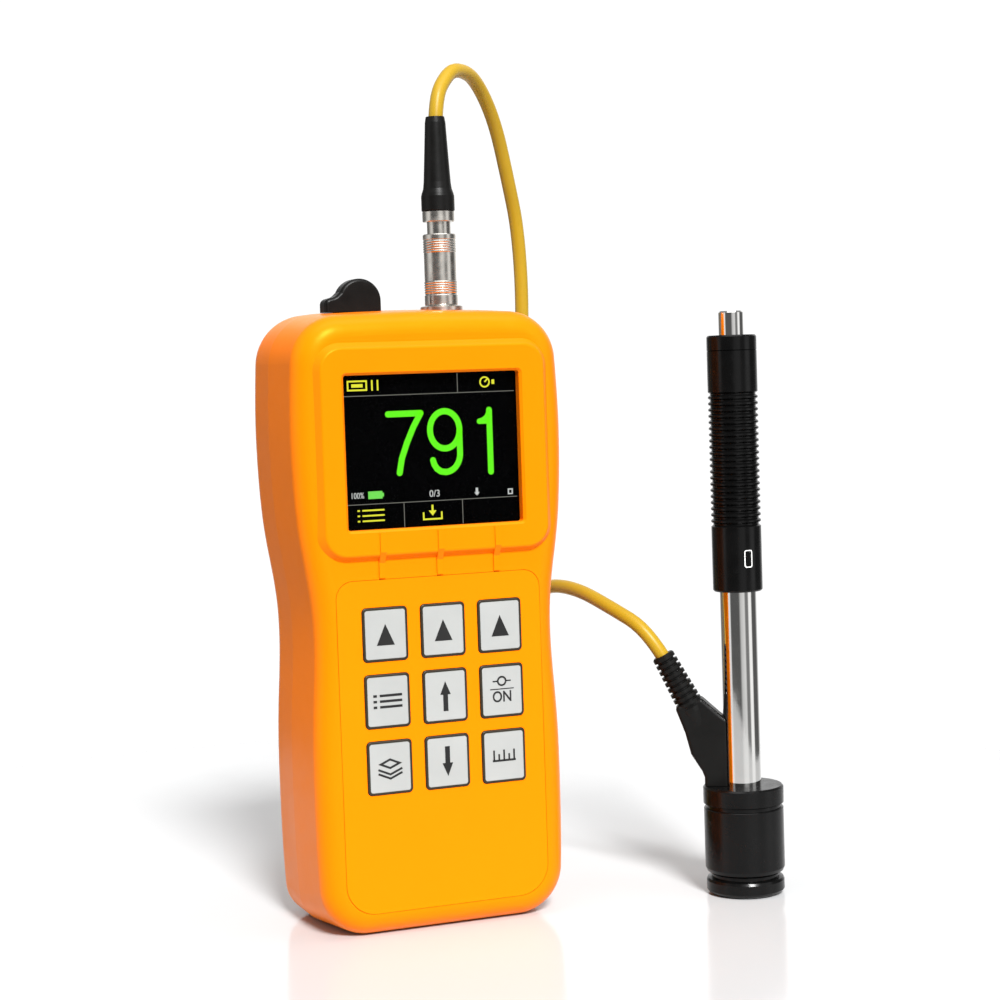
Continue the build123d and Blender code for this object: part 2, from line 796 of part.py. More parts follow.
for name, route in (("upper", upper_route), ("lower", lower_route)):
    runs = [(Vector(*b) - Vector(*a)).length for a, b in zip(route, route[1:])]
    print(name, "cord radii", [round(r, 1) for r in corner_radii(route)])
    print(name, "cord runs", [round(r, 1) for r in runs])

with BuildPart() as cord_upper:
    with BuildLine() as upper_path:
        FilletPolyline(*upper_route, radius=corner_radii(upper_route))
    with BuildSketch(Plane(origin=upper_path.line @ 0, z_dir=upper_path.line % 0)) as upper_section:
        Circle(cord_d / 2)
    sweep(upper_section.sketch, path=upper_path.line)
cord_upper.part.label = "cord_upper"
export_step(cord_upper.part, "parts/cord_upper.step")
print("cord_upper length", round(sum(e.length for e in upper_path.edges()), 1), "volume", round(cord_upper.part.volume, 1),
      "section x length", round(math.pi * cord_d**2 / 4 * sum(e.length for e in upper_path.edges()), 1))

with BuildPart() as cord_lower:
    with BuildLine() as lower_path:
        FilletPolyline(*lower_route, radius=corner_radii(lower_route))
    with BuildSketch(Plane(origin=lower_path.line @ 0, z_dir=lower_path.line % 0)) as lower_section:
        Circle(cord_d / 2)
    sweep(lower_section.sketch, path=lower_path.line)
cord_lower.part.label = "cord_lower"
export_step(cord_lower.part, "parts/cord_lower.step")
print("cord_lower length", round(sum(e.length for e in lower_path.edges()), 1), "volume", round(cord_lower.part.volume, 1),
      "section x length", round(math.pi * cord_d**2 / 4 * sum(e.length for e in lower_path.edges()), 1))
print("coil length", round(coil_turns * 2 * math.pi * coil_mid, 1))

# the put-away coil: its turns as one ring, with the cord's two ways into it
with BuildPart() as cord_coil:
    coil_plane = Plane(origin=(coil_x, coil_y, 0), x_dir=(1, 0, 0), z_dir=(0, -1, 0))
    coil_axis = Axis((coil_x, coil_y, 0), (0, 0, 1))
    with BuildSketch(coil_plane) as band:
        with Locations(((coil_in + coil_out) / 2, coil_h / 2)):
            RectangleRounded(coil_out - coil_in, coil_h, 1.7)
    revolve(band.sketch, axis=coil_axis)
    for radius, height, start, arc in ((28.1, cord_d / 2, 290, -34), (coil_mid, 12.4, 30, 34)):
        a = math.radians(start)
        tail_plane = Plane(
            origin=(coil_x, coil_y, 0),
            x_dir=(math.cos(a), math.sin(a), 0),
            z_dir=(math.sin(a), -math.cos(a), 0),
        )
        with BuildSketch(tail_plane) as tail:
            with Locations((radius, height)):
                Circle(cord_d / 2)
        revolve(tail.sketch, axis=coil_axis, revolution_arc=arc)
cord_coil.part.label = "cord_coil"
export_step(cord_coil.part, "parts/cord_coil.step")

# ---- moulded plug on the probe, with its ribbed strain relief ---------------------------
relief_dir = (Vector(*lower_route[1]) - Vector(*lower_route[0])).normalized()
relief_tip = Vector(*lower_route[0]) + relief_dir * 4.0
relief_base = relief_tip - relief_dir * 15.4
relief_side = relief_dir.cross(Vector(0, 0, 1)).normalized()
relief_plane = Plane(
    origin=relief_base, x_dir=relief_side, z_dir=relief_side.cross(relief_dir)
)
with BuildPart() as probe_plug:
    with BuildSketch(probe_plane.offset(-2.9)) as blade:
        with BuildLine():
            Polyline(
                (-3.4, 27.25),
                (-3.4, 43.9),
                (-5.3, 45.4),
                (-9.9, 49.6),
                (-16.6, 47.3),
                (-14.15, 40.7),
                (-12.8, 35.3),
                (-10.1, 30.9),
                (-9.55, 29.4),
                (-9.55, 27.25),
                close=True,
            )
        make_face()
    extrude(blade.sketch, amount=5.8)
    fillet(probe_plug.edges().filter_by(lambda e: abs(e.length - 5.8) < 0.01 and e.center().Z > 31), 1.0)
    fillet(probe_plug.faces().filter_by(lambda f: f.area > 100).edges().filter_by(lambda e: e.center().Z > 27.6), 1.0)
    # ribbed strain relief
    ribs = [(0.0, -9.5), (2.2, -9.5), (3.45, -0.6), (3.45, 0.6)]
    pitch = 1.6
    for k in range(9):
        s = 0.7 + k * pitch
        r = 3.4 - 0.065 * k
        ribs += [(r - 0.65, s), (r - 0.65, s + 0.5), (r, s + 0.6), (r, s + pitch - 0.1)]
    ribs += [(2.5, 15.4), (cord_d / 2, 15.4), (cord_d / 2, 11.4), (0.0, 11.4)]
    turn(ribs, relief_plane, Axis(relief_base, relief_dir))
    # hollow that lets the plug hug the guide tube
    turn([(0, 27.0), (tube_r + 0.15, 27.0), (tube_r + 0.15, 52.0), (0, 52.0)], probe_plane, probe_axis, Mode.SUBTRACT)
    # foot that plugs into the cap of the coil housing
    with BuildSketch(Plane(origin=(probe_x, probe_y, 24.6), x_dir=(probe_out[0], probe_out[1], 0), z_dir=(0, 0, 1))) as foot:
        with Locations((-7.1, 0)):
            RectangleRounded(3.6, 4.6, 0.8)
    extrude(foot.sketch, amount=3.0)
probe_plug.part.label = "probe_plug"
export_step(probe_plug.part, "parts/probe_plug.step")

# ---- probe: foot, coil housing and guide tube --------------------------------------------
with BuildPart() as support_ring:
    turn(
        [
            (3.4, 0.0), (8.9, 0.0), (9.4, 0.35), (ring_r, 0.9), (ring_r, 3.2), (9.5, 3.8), (8.9, 4.1),
            (8.5, 4.15), (8.5, 5.0), (7.0, 5.0), (7.0, 8.0), (3.4, 8.0),
        ],
        probe_plane, probe_axis,
    )
support_ring.part.label = "support_ring"
export_step(support_ring.part, "parts/support_ring.step")

with BuildPart() as coil_housing:
    turn(
        [
            (7.0, 5.0), (8.8, 5.0), (9.6, 5.6), (barrel_r, 6.5), (barrel_r, 21.4), (9.8, 21.6), (8.6, 21.6),
            (8.6, 8.2), (7.0, 8.2),
        ],
        probe_plane, probe_axis,
    )
coil_housing.part.label = "coil_housing"
export_step(coil_housing.part, "parts/coil_housing.step")

with BuildPart() as coil_cap:
    turn(
        [
            (4.6, 21.0), (8.55, 21.0), (8.55, 21.6), (9.45, 21.6), (9.45, 22.5), (9.9, 22.6), (flange_r, 22.8),
            (flange_r, 26.7), (9.7, 27.15), (4.6, 27.15),
        ],
        probe_plane, probe_axis,
    )
    with BuildSketch(Plane(origin=(probe_x, probe_y, 24.6), x_dir=(probe_out[0], probe_out[1], 0), z_dir=(0, 0, 1))) as pocket:
        with Locations((-7.1, 0)):
            RectangleRounded(3.8, 4.8, 0.9)
    extrude(pocket.sketch, amount=4.0, mode=Mode.SUBTRACT)
coil_cap.part.label = "coil_cap"
export_step(coil_cap.part, "parts/coil_cap.step")

with BuildPart() as coil_bobbin:
    turn(
        [
            (4.6, 8.4), (8.4, 8.4), (8.4, 9.3), (5.4, 9.3), (5.4, 19.9), (8.4, 19.9), (8.4, 20.8), (4.6, 20.8),
        ],
        probe_plane, probe_axis,
    )
coil_bobbin.part.label = "coil_bobbin"
export_step(coil_bobbin.part, "parts/coil_bobbin.step")

with BuildPart() as coil_winding:
    turn([(5.4, 9.3), (7.6, 9.3), (7.6, 19.9), (5.4, 19.9)], probe_plane, probe_axis)
coil_winding.part.label = "coil_winding"
export_step(coil_winding.part, "parts/coil_winding.step")

with BuildPart() as guide_tube:
    turn(
        [
            (tube_bore, 8.2), (tube_r, 8.2), (tube_r, 91.2), (5.3, 91.2), (5.3, 93.6), (5.0, 94.0),
            (tube_bore, 94.0),
        ],
        probe_plane, probe_axis,
    )
guide_tube.part.label = "guide_tube"
export_step(guide_tube.part, "parts/guide_tube.step")

with BuildPart() as guide_bush:
    turn([(1.36, 89.5), (tube_bore, 89.5), (tube_bore, 94.0), (1.36, 94.0)], probe_plane, probe_axis)
guide_bush.part.label = "guide_bush"
export_step(guide_bush.part, "parts/guide_bush.step")

# ---- probe: the loading tube that slides down the guide tube -----------------------------
ridge_pitch = 1.545
ridge_z0, ridge_count = 92.6, 22
with BuildPart() as loading_tube:
    profile = [(4.66, 77.0), (4.9, 76.3), (5.9, 76.3), (sleeve_r, 76.7), (sleeve_r, ridge_z0)]
    for k in range(ridge_count):
        s = ridge_z0 + k * ridge_pitch
        profile += [
            (sleeve_r - 0.55, s + 0.45),
            (sleeve_r - 0.55, s + 0.75),
            (sleeve_r, s + 1.15),
            (sleeve_r, s + ridge_pitch),
        ]
    profile += [(sleeve_r, sleeve_z1), (5.4, sleeve_z1), (5.4, 90.9), (4.66, 90.9)]
    turn(profile, probe_plane, probe_axis)
loading_tube.part.label = "loading_tube"
export_step(loading_tube.part, "parts/loading_tube.step")

with BuildPart() as loading_cap:
    turn(
        [
            (3.2, 136.4), (3.2, 140.3), (5.9, 140.3), (sleeve_r, 139.9), (sleeve_r, 136.6), (6.0, 136.4),
            (5.4, 136.4), (5.4, 130.0), (4.4, 130.0), (4.4, 136.4),
        ],
        probe_plane, probe_axis,
    )
loading_cap.part.label = "loading_cap"
export_step(loading_cap.part, "parts/loading_cap.step")

with BuildPart() as spring_seat:
    turn([(1.3, 130.0), (4.4, 130.0), (4.4, 131.2), (1.3, 131.2)], probe_plane, probe_axis)
spring_seat.part.label = "spring_seat"
export_step(spring_seat.part, "parts/spring_seat.step")

with BuildPart() as release_button:
    turn(
        [
            (0.0, 62.0), (0.72, 62.0), (0.72, 135.0), (4.3, 135.0), (4.3, 136.2), (button_r, 136.2),
            (button_r, 145.9), (2.8, button_top_z), (0.0, button_top_z),
        ],
        probe_plane, probe_axis,
    )
release_button.part.label = "release_button"
export_step(release_button.part, "parts/release_button.step")

with BuildPart() as catch_chuck:
    turn(
        [
            (1.9, 58.6), (2.9, 58.6), (2.9, 66.0), (1.3, 66.6), (1.3, 131.2), (0.8, 131.2), (0.8, 65.0), (1.9, 64.4),
        ],
        probe_plane, probe_axis,
    )
    # slits that let the jaws spring open
    with BuildSketch(Plane.XY.offset(58.0)) as slits:
        with Locations((probe_x, probe_y)):
            with PolarLocations(0, 3):
                with Locations((2.4, 0)):
                    Rectangle(1.6, 0.5)
    extrude(slits.sketch, amount=6.0, mode=Mode.SUBTRACT)
catch_chuck.part.label = "catch_chuck"
export_step(catch_chuck.part, "parts/catch_chuck.step")


def coil_spring(radius, wire_d, z0, z1, turns):
    """A round-wire compression spring about the probe's axis."""
    with BuildLine() as wire:
        Helix(
            pitch=(z1 - z0 - wire_d) / turns,
            height=z1 - z0 - wire_d,
            radius=radius,
            center=(probe_x, probe_y, z0 + wire_d / 2),
        )
    with BuildSketch(Plane(origin=wire.line @ 0, z_dir=wire.line % 0)) as section:
        Circle(wire_d / 2)
    sweep(section.sketch, path=wire.line)


with BuildPart() as loading_spring:
    coil_spring(3.6, 0.9, 94.05, 129.95, 9)
loading_spring.part.label = "loading_spring"
export_step(loading_spring.part, "parts/loading_spring.step")

with BuildPart() as impact_spring:
    coil_spring(2.3, 0.6, 66.7, 89.45, 7)
impact_spring.part.label = "impact_spring"
export_step(impact_spring.part, "parts/impact_spring.step")

with BuildPart() as button_spring:
    coil_spring(3.6, 0.5, 131.25, 134.95, 2.5)
button_spring.part.label = "button_spring"
export_step(button_spring.part, "parts/button_spring.step")

# ---- probe: the impact body ----------------------------------------------------------------
with BuildPart() as impact_body:
    turn(
        [
            (0.0, 2.6), (1.35, 2.6), (1.35, 1.9), (1.75, 1.9), (3.05, 4.6), (3.05, 24.6), (2.6, 25.2),
            (1.1, 25.2), (1.1, 28.2), (1.7, 28.8), (1.7, 29.8), (1.2, 30.4), (0.0, 30.4),
        ],
        probe_plane, probe_axis,
    )
    with BuildSketch(Plane(origin=(probe_x, probe_y, 8.0))):
        Circle(1.6)
    extrude(amount=4.0, mode=Mode.SUBTRACT)
impact_body.part.label = "impact_body"
export_step(impact_body.part, "parts/impact_body.step")

with BuildPart() as impact_ball:
    with BuildSketch(probe_plane) as half:
        with BuildLine():
            ThreePointArc((0, 0.2), (1.35, 1.55), (1.2, 2.167))
            Polyline((1.2, 2.167), (1.2, 2.6), (0, 2.6), (0, 0.2))
        make_face()
    revolve(half.sketch, axis=probe_axis)
impact_ball.part.label = "impact_ball"
export_step(impact_ball.part, "parts/impact_ball.step")

with BuildPart() as impact_magnet:
    turn([(0, 8.0), (1.6, 8.0), (1.6, 12.0), (0, 12.0)], probe_plane, probe_axis)
impact_magnet.part.label = "impact_magnet"
export_step(impact_magnet.part, "parts/impact_magnet.step")
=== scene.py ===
import json
import math

import bmesh
import bpy
from mathutils import Matrix, Vector

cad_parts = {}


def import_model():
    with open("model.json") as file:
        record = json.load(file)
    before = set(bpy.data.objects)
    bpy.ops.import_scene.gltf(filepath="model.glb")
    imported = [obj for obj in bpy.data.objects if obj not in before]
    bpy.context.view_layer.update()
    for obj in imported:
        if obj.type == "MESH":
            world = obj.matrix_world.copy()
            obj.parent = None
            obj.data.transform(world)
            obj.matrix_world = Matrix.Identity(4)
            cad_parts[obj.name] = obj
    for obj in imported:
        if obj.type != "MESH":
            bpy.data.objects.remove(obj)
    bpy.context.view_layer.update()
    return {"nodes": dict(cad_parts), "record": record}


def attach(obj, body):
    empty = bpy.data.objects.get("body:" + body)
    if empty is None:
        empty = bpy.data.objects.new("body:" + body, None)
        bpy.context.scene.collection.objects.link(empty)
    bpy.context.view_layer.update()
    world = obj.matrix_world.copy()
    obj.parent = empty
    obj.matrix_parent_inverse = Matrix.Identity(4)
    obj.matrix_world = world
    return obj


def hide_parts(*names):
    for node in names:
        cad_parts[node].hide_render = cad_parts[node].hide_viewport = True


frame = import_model()
nodes = frame["nodes"]
scene = bpy.context.scene
MM = 0.001


# ------------------------------------------------------------------ camera
def make_camera():
    data = bpy.data.cameras.new("camera")
    data.sensor_width = 36.0
    data.lens = 77.04
    data.clip_start, data.clip_end = 0.02, 50.0
    cam = bpy.data.objects.new("camera", data)
    scene.collection.objects.link(cam)
    pitch, roll = math.radians(3.352), math.radians(-1.90)
    ground = Vector((0.36808, 0.92980, 0.0)).normalized()
    forward = ground * math.cos(pitch) - Vector((0, 0, 1)) * math.sin(pitch)
    right = forward.cross(Vector((0, 0, 1))).normalized()
    up = right.cross(forward)
    x = right * math.cos(roll) + up * math.sin(roll)
    y = -right * math.sin(roll) + up * math.cos(roll)
    turn = Matrix((x, y, -forward)).transposed().to_4x4()
    cam.matrix_world = Matrix.Translation(Vector((-173.08, -497.41, 132.38)) * MM) @ turn
    scene.camera = cam


make_camera()
scene.view_settings.view_transform = "Standard"
scene.view_settings.look = "None"


# ------------------------------------------------------------------ materials
def rgb(r, g, b):
    """An sRGB colour, 0 to 255, as a linear one."""
    out = []
    for c in (r, g, b):
        c /= 255.0
        out.append(c / 12.92 if c <= 0.04045 else ((c + 0.055) / 1.055) ** 2.4)
    return (*out, 1.0)


class Nodes:
    """A small helper that builds one node material."""

    def __init__(self, name):
        self.mat = bpy.data.materials.new(name)
        self.mat.use_nodes = True
        self.tree = self.mat.node_tree
        self.out = self.tree.nodes["Material Output"]
        self.bsdf = self.tree.nodes["Principled BSDF"]
        self.coord = self.tree.nodes.new("ShaderNodeTexCoord")

    def add(self, kind, **values):
        n = self.tree.nodes.new(kind)
        for k, v in values.items():
            setattr(n, k, v)
        return n

    def link(self, a, b):
        self.tree.links.new(a, b)

    def noise(self, scale, detail=3.0, rough=0.55, stretch=None, distortion=0.0):
        n = self.add("ShaderNodeTexNoise")
        n.inputs["Scale"].default_value = scale
        n.inputs["Detail"].default_value = detail
        n.inputs["Roughness"].default_value = rough
        n.inputs["Distortion"].default_value = distortion
        if stretch:
            m = self.add("ShaderNodeMapping")
            m.inputs["Scale"].default_value = stretch
            self.link(self.coord.outputs["Object"], m.inputs["Vector"])
            self.link(m.outputs["Vector"], n.inputs["Vector"])
        else:
            self.link(self.coord.outputs["Object"], n.inputs["Vector"])
        return n.outputs["Fac"]

    def ramp(self, fac, low, high, a, b):
        """fac from low..high becomes a..b."""
        m = self.add("ShaderNodeMapRange")
        m.inputs["From Min"].default_value = low
        m.inputs["From Max"].default_value = high
        m.inputs["To Min"].default_value = a
        m.inputs["To Max"].default_value = b
        self.link(fac, m.inputs["Value"])
        return m.outputs["Result"]

    def mix(self, fac, a, b):
        """A colour mix; a and b are colours or sockets."""
        m = self.add("ShaderNodeMix", data_type="RGBA")
        if hasattr(fac, "is_linked"):
            self.link(fac, m.inputs["Factor"])
        else:
            m.inputs["Factor"].default_value = fac
        for socket, value in ((m.inputs[6], a), (m.inputs[7], b)):
            if hasattr(value, "is_linked"):
                self.link(value, socket)
            else:
                socket.default_value = value
        return m.outputs[2]

    def bump(self, height, strength, distance, normal=None):
        b = self.add("ShaderNodeBump")
        b.inputs["Strength"].default_value = strength
        b.inputs["Distance"].default_value = distance
        self.link(height, b.inputs["Height"])
        if normal is not None:
            self.link(normal, b.inputs["Normal"])
        return b.outputs["Normal"]


def surface(name, colour, rough=0.5, metal=0.0, spec=0.5, ior=1.5, coat=0.0, coat_rough=0.1, dark=0.9, light=1.04,
            patch=45.0, grain=2600.0, grain_depth=0.00001, grain_strength=0.25, rough_spread=0.08, turned=None,
            sheen=0.0, speck=None, tint=None):
    """One finish: a colour that varies a little, a fine grain, and an uneven gloss."""
    n = Nodes(name)
    b = n.bsdf
    b.inputs["Metallic"].default_value = metal
    b.inputs["IOR"].default_value = ior
    b.inputs["Specular IOR Level"].default_value = spec
    if tint:
        b.inputs["Specular Tint"].default_value = tint
    b.inputs["Coat Weight"].default_value = coat
    b.inputs["Coat Roughness"].default_value = coat_rough
    if sheen:
        b.inputs["Sheen Weight"].default_value = sheen
        b.inputs["Sheen Roughness"].default_value = 0.4
    wide = n.noise(patch, 4.0, 0.6)
    lo = tuple(min(1.0, c * dark) for c in colour[:3]) + (1.0,)
    hi = tuple(min(1.0, c * light) for c in colour[:3]) + (1.0,)
    base = n.mix(n.ramp(wide, 0.3, 0.7, 0.0, 1.0), lo, hi)
    if speck is not None:
        dots = n.noise(speck[0], 2.0, 0.5)
        base = n.mix(n.ramp(dots, 0.66, 0.72, 0.0, speck[2]), base, speck[1])
    n.link(base, b.inputs["Base Color"])
    smear = n.noise(patch * 3.1, 5.0, 0.62, distortion=0.4)
    n.link(n.ramp(smear, 0.3, 0.7, max(0.02, rough - rough_spread), rough + rough_spread), b.inputs["Roughness"])
    normal = None
    if grain_depth:
        normal = n.bump(n.noise(grain, 2.0, 0.5), grain_strength, grain_depth)
    if turned:
        # fine rings left by the lathe, round the Z axis
        rings = n.noise(turned[0], 3.0, 0.65, stretch=(0.02, 0.02, 1.0))
        normal = n.bump(rings, turned[1], turned[2], normal)
    if normal is not None:
        n.link(normal, b.inputs["Normal"])
    return n.mat


def glow(name, colour, strength, rough=0.5):
    """A lit part of the display: pixels with a faint fixed grid."""
    n = Nodes(name)
    n.bsdf.inputs["Roughness"].default_value = rough
    n.bsdf.inputs["Emission Strength"].default_value = strength
    n.bsdf.inputs["Specular IOR Level"].default_value = 0.1
    w = n.noise(5200.0, 1.0, 0.5)
    c = n.mix(n.ramp(w, 0.35, 0.65, 0.0, 1.0), tuple(x * 0.93 for x in colour[:3]) + (1.0,), colour)
    n.bsdf.inputs["Base Color"].default_value = (0.002, 0.002, 0.002, 1.0)
    n.link(c, n.bsdf.inputs["Emission Color"])
    return n.mat


def key_face():
    """Light grey key film with its dark printed rim, drawn from the key's own box."""
    n = Nodes("key_film")
    b = n.bsdf
    w, h, rim, r = 11.2, 12.8, 0.60, 0.60
    centred = n.add("ShaderNodeVectorMath", operation="SUBTRACT")
    centred.inputs[1].default_value = (0.5, 0.5, 0.5)
    n.link(n.coord.outputs["Generated"], centred.inputs[0])
    sized = n.add("ShaderNodeVectorMath", operation="MULTIPLY")
    sized.inputs[1].default_value = (w, 0.0, h)
    n.link(centred.outputs[0], sized.inputs[0])
    away = n.add("ShaderNodeVectorMath", operation="ABSOLUTE")
    n.link(sized.outputs[0], away.inputs[0])
    past = n.add("ShaderNodeVectorMath", operation="SUBTRACT")
    past.inputs[1].default_value = (w / 2 - rim - r, 0.0, h / 2 - rim - r)
    n.link(away.outputs[0], past.inputs[0])
    clipped = n.add("ShaderNodeVectorMath", operation="MAXIMUM")
    clipped.inputs[1].default_value = (0.0, 0.0, 0.0)
    n.link(past.outputs[0], clipped.inputs[0])
    dist = n.add("ShaderNodeVectorMath", operation="LENGTH")
    n.link(clipped.outputs[0], dist.inputs[0])
    mask = n.ramp(dist.outputs["Value"], r - 0.05, r + 0.05, 0.0, 1.0)
    film = n.mix(n.ramp(n.noise(70.0, 4.0), 0.3, 0.7, 0.0, 1.0), (0.335, 0.342, 0.334, 1), (0.365, 0.372, 0.362, 1))
    ink = n.mix(n.ramp(n.noise(400.0, 3.0), 0.3, 0.7, 0.0, 1.0), (0.012, 0.0085, 0.0022, 1), (0.017, 0.012, 0.003, 1))
    n.link(n.mix(mask, film, ink), b.inputs["Base Color"])
    n.link(n.ramp(n.noise(160.0, 4.0), 0.3, 0.7, 0.34, 0.44), b.inputs["Roughness"])
    n.link(n.bump(n.noise(4200.0, 2.0), 0.15, 0.000006), b.inputs["Normal"])
    return n.mat


def window_glass():
    """Thin clear window: see-through with a faint reflection."""
    n = Nodes("window_clear")
    clear = n.add("ShaderNodeBsdfTransparent")
    clear.inputs["Color"].default_value = (0.97, 0.98, 0.98, 1.0)
    shine = n.add("ShaderNodeBsdfGlossy")
    n.link(n.ramp(n.noise(220.0, 4.0), 0.3, 0.7, 0.03, 0.08), shine.inputs["Roughness"])
    shine.inputs["Color"].default_value = (1, 1, 1, 1)
    fres = n.add("ShaderNodeFresnel")
    fres.inputs["IOR"].default_value = 1.075
    m = n.add("ShaderNodeMixShader")
    n.link(fres.outputs[0], m.inputs[0])
    n.link(clear.outputs[0], m.inputs[1])
    n.link(shine.outputs[0], m.inputs[2])
    n.link(m.outputs[0], n.out.inputs["Surface"])
    n.tree.nodes.remove(n.bsdf)
    return n.mat


orange = (0.93, 0.202, 0.0012)
mats = {
    "case_orange": surface("case_orange", orange, rough=0.33, spec=0.26, tint=(1.0, 0.66, 0.07, 1), dark=0.965, light=1.02, patch=22.0,
                           grain=3400.0, grain_depth=0.000012, grain_strength=0.3, rough_spread=0.05),
    "overlay_print": surface("overlay_print", (0.94, 0.210, 0.0014), rough=0.42, spec=0.16, tint=(1.0, 0.66, 0.07, 1), dark=0.975, light=1.015, patch=16.0,
                             grain=5200.0, grain_depth=0.000006, grain_strength=0.25, rough_spread=0.05),
    "key_grey": key_face(),
    "window_clear": window_glass(),
    "screen": surface("screen", (0.0004, 0.0004, 0.0005, 1), rough=0.25, spec=0.02, dark=0.8, light=1.2, patch=60.0,
                      grain=6000.0, grain_depth=0.000002, grain_strength=0.1),
    "black_plastic": surface("black_plastic", (0.018, 0.018, 0.019, 1), rough=0.5, dark=0.8, light=1.2),
    "board_green": surface("board_green", (0.015, 0.14, 0.05, 1), rough=0.35, coat=0.3, dark=0.75, light=1.2,
                           speck=(900.0, (0.6, 0.5, 0.25, 1), 0.8)),
    "circuit_film": surface("circuit_film", (0.55, 0.58, 0.58, 1), rough=0.25, dark=0.9, light=1.05),
    "cell_jacket": surface("cell_jacket", (0.03, 0.032, 0.036, 1), rough=0.3, metal=0.3, coat=0.4),
    "contact_plating": surface("contact_plating", (0.62, 0.60, 0.54, 1), rough=0.28, metal=1.0, grain=1800.0),
    "rubber_black": surface("rubber_black", (0.0046, 0.0045, 0.0042, 1), rough=0.38, spec=0.15, dark=0.8, light=1.25, patch=90.0,
                            grain=3600.0, grain_depth=0.000015, grain_strength=0.3),
    "satin_nickel": surface("satin_nickel", (0.60, 0.575, 0.53, 1), rough=0.27, metal=1.0, dark=0.92, light=1.04, patch=120.0,
                            grain=2500.0, grain_depth=0.000006, grain_strength=0.3, turned=(5200.0, 0.35, 0.00001)),
    "insulator": surface("insulator", (0.02, 0.02, 0.021, 1), rough=0.45),
    "cord_yellow": surface("cord_yellow", (0.40, 0.245, 0.010, 1), rough=0.40, spec=0.25, dark=0.94, light=1.04, patch=60.0,
                           grain=2600.0, grain_depth=0.00001, grain_strength=0.3, sheen=0.15),
    "black_anodised": surface("black_anodised", (0.0026, 0.0026, 0.0026, 1), rough=0.22, metal=0.0, spec=0.20, dark=0.8,
                              light=1.25, patch=100.0, grain=2400.0, grain_depth=0.000006, grain_strength=0.3,
                              turned=(4200.0, 0.4, 0.00001)),
    "polished_steel": surface("polished_steel", (0.72, 0.715, 0.70, 1), rough=0.07, metal=1.0, dark=0.95, light=1.03, patch=60.0,
                              grain=2000.0, grain_depth=0.000003, grain_strength=0.2, rough_spread=0.03,
                              turned=(3800.0, 0.25, 0.000006)),
    "steel": surface("steel", (0.45, 0.45, 0.45, 1), rough=0.3, metal=1.0, turned=(3000.0, 0.3, 0.00001)),
    "spring_steel": surface("spring_steel", (0.36, 0.36, 0.37, 1), rough=0.32, metal=1.0),
    "carbide": surface("carbide", (0.42, 0.42, 0.44, 1), rough=0.1, metal=1.0),
    "magnet": surface("magnet", (0.33, 0.33, 0.35, 1), rough=0.35, metal=1.0),
    "brass": surface("brass", (0.70, 0.48, 0.18, 1), rough=0.25, metal=1.0),
    "copper": surface("copper", (0.62, 0.24, 0.10, 1), rough=0.3, metal=1.0, turned=(2600.0, 0.8, 0.0001)),
}
slot_of = {s["node"]: s["material_slot"] for s in frame["record"]["subparts"]}
for name, obj in nodes.items():
    obj.data.materials.clear()
    obj.data.materials.append(mats[slot_of[name]])

ink_black = surface("ink_black", (0.006, 0.006, 0.006, 1), rough=0.45, spec=0.4, dark=0.8, light=1.3, grain=5000.0,
                    grain_depth=0.000004)
ink_white = surface("ink_white", (0.74, 0.74, 0.72, 1), rough=0.5, dark=0.93, light=1.04, grain=5000.0, grain_depth=0.000004)
lit_green = glow("lit_green", rgb(104, 255, 24), 1.0)
lit_yellow = glow("lit_yellow", rgb(244, 244, 60), 0.95)
lit_white = glow("lit_white", rgb(215, 218, 215), 0.9)
lit_line = glow("lit_line", rgb(120, 120, 112), 0.9)
lit_battery = glow("lit_battery", rgb(120, 235, 90), 0.95)
black_tie = surface("tie_fabric", (0.012, 0.012, 0.013, 1), rough=0.8, spec=0.2, dark=0.6, light=1.5, patch=900.0,
                    grain=4200.0, grain_depth=0.00015, grain_strength=0.8)

# ------------------------------------------------------------------ the cord
upper_route = [
    (10.0, 0.0, 190.0),
    (10.0, 0.0, 200.2),
    (15.4, 4.7, 207.4),
    (20.1, 8.7, 209.1),
    (26.5, 14.3, 207.7),
    (33.9, 20.7, 198.3),
    (38.6, 24.8, 184.2),
    (43.0, 28.6, 169.2),
    (43.6, 29.1, 144.7),
    (40.8, 29.8, 115.0),
    (37.8, 29.2, 86.0),
    (38.6, 30.2, 58.0),
    (41.0, 32.6, 33.0),
    (40.2, 34.8, 17.0),
    (37.0, 35.4, 7.0),
]
lower_route = [
    (63.3, -13.2, 56.8),
    (58.9, -10.9, 66.4),
    (53.2, 0.1, 72.0),
    (49.9, 13.1, 75.9),
    (47.1, 25.7, 76.2),
    (47.0, 35.0, 72.1),
    (43.5, 42.0, 58.0),
    (41.5, 46.5, 42.0),
    (39.6, 51.0, 28.0),
    (37.4, 54.2, 17.6),
]
coil_centre = (12.0, 56.0)
cord_d = 3.6


def on_coil(radius, degrees, z):
    a = math.radians(degrees)
    return (coil_centre[0] + radius * math.cos(a), coil_centre[1] + radius * math.sin(a), z)


def smooth(t):
    t = min(1.0, max(0.0, t))
    return t * t * (3 - 2 * t)


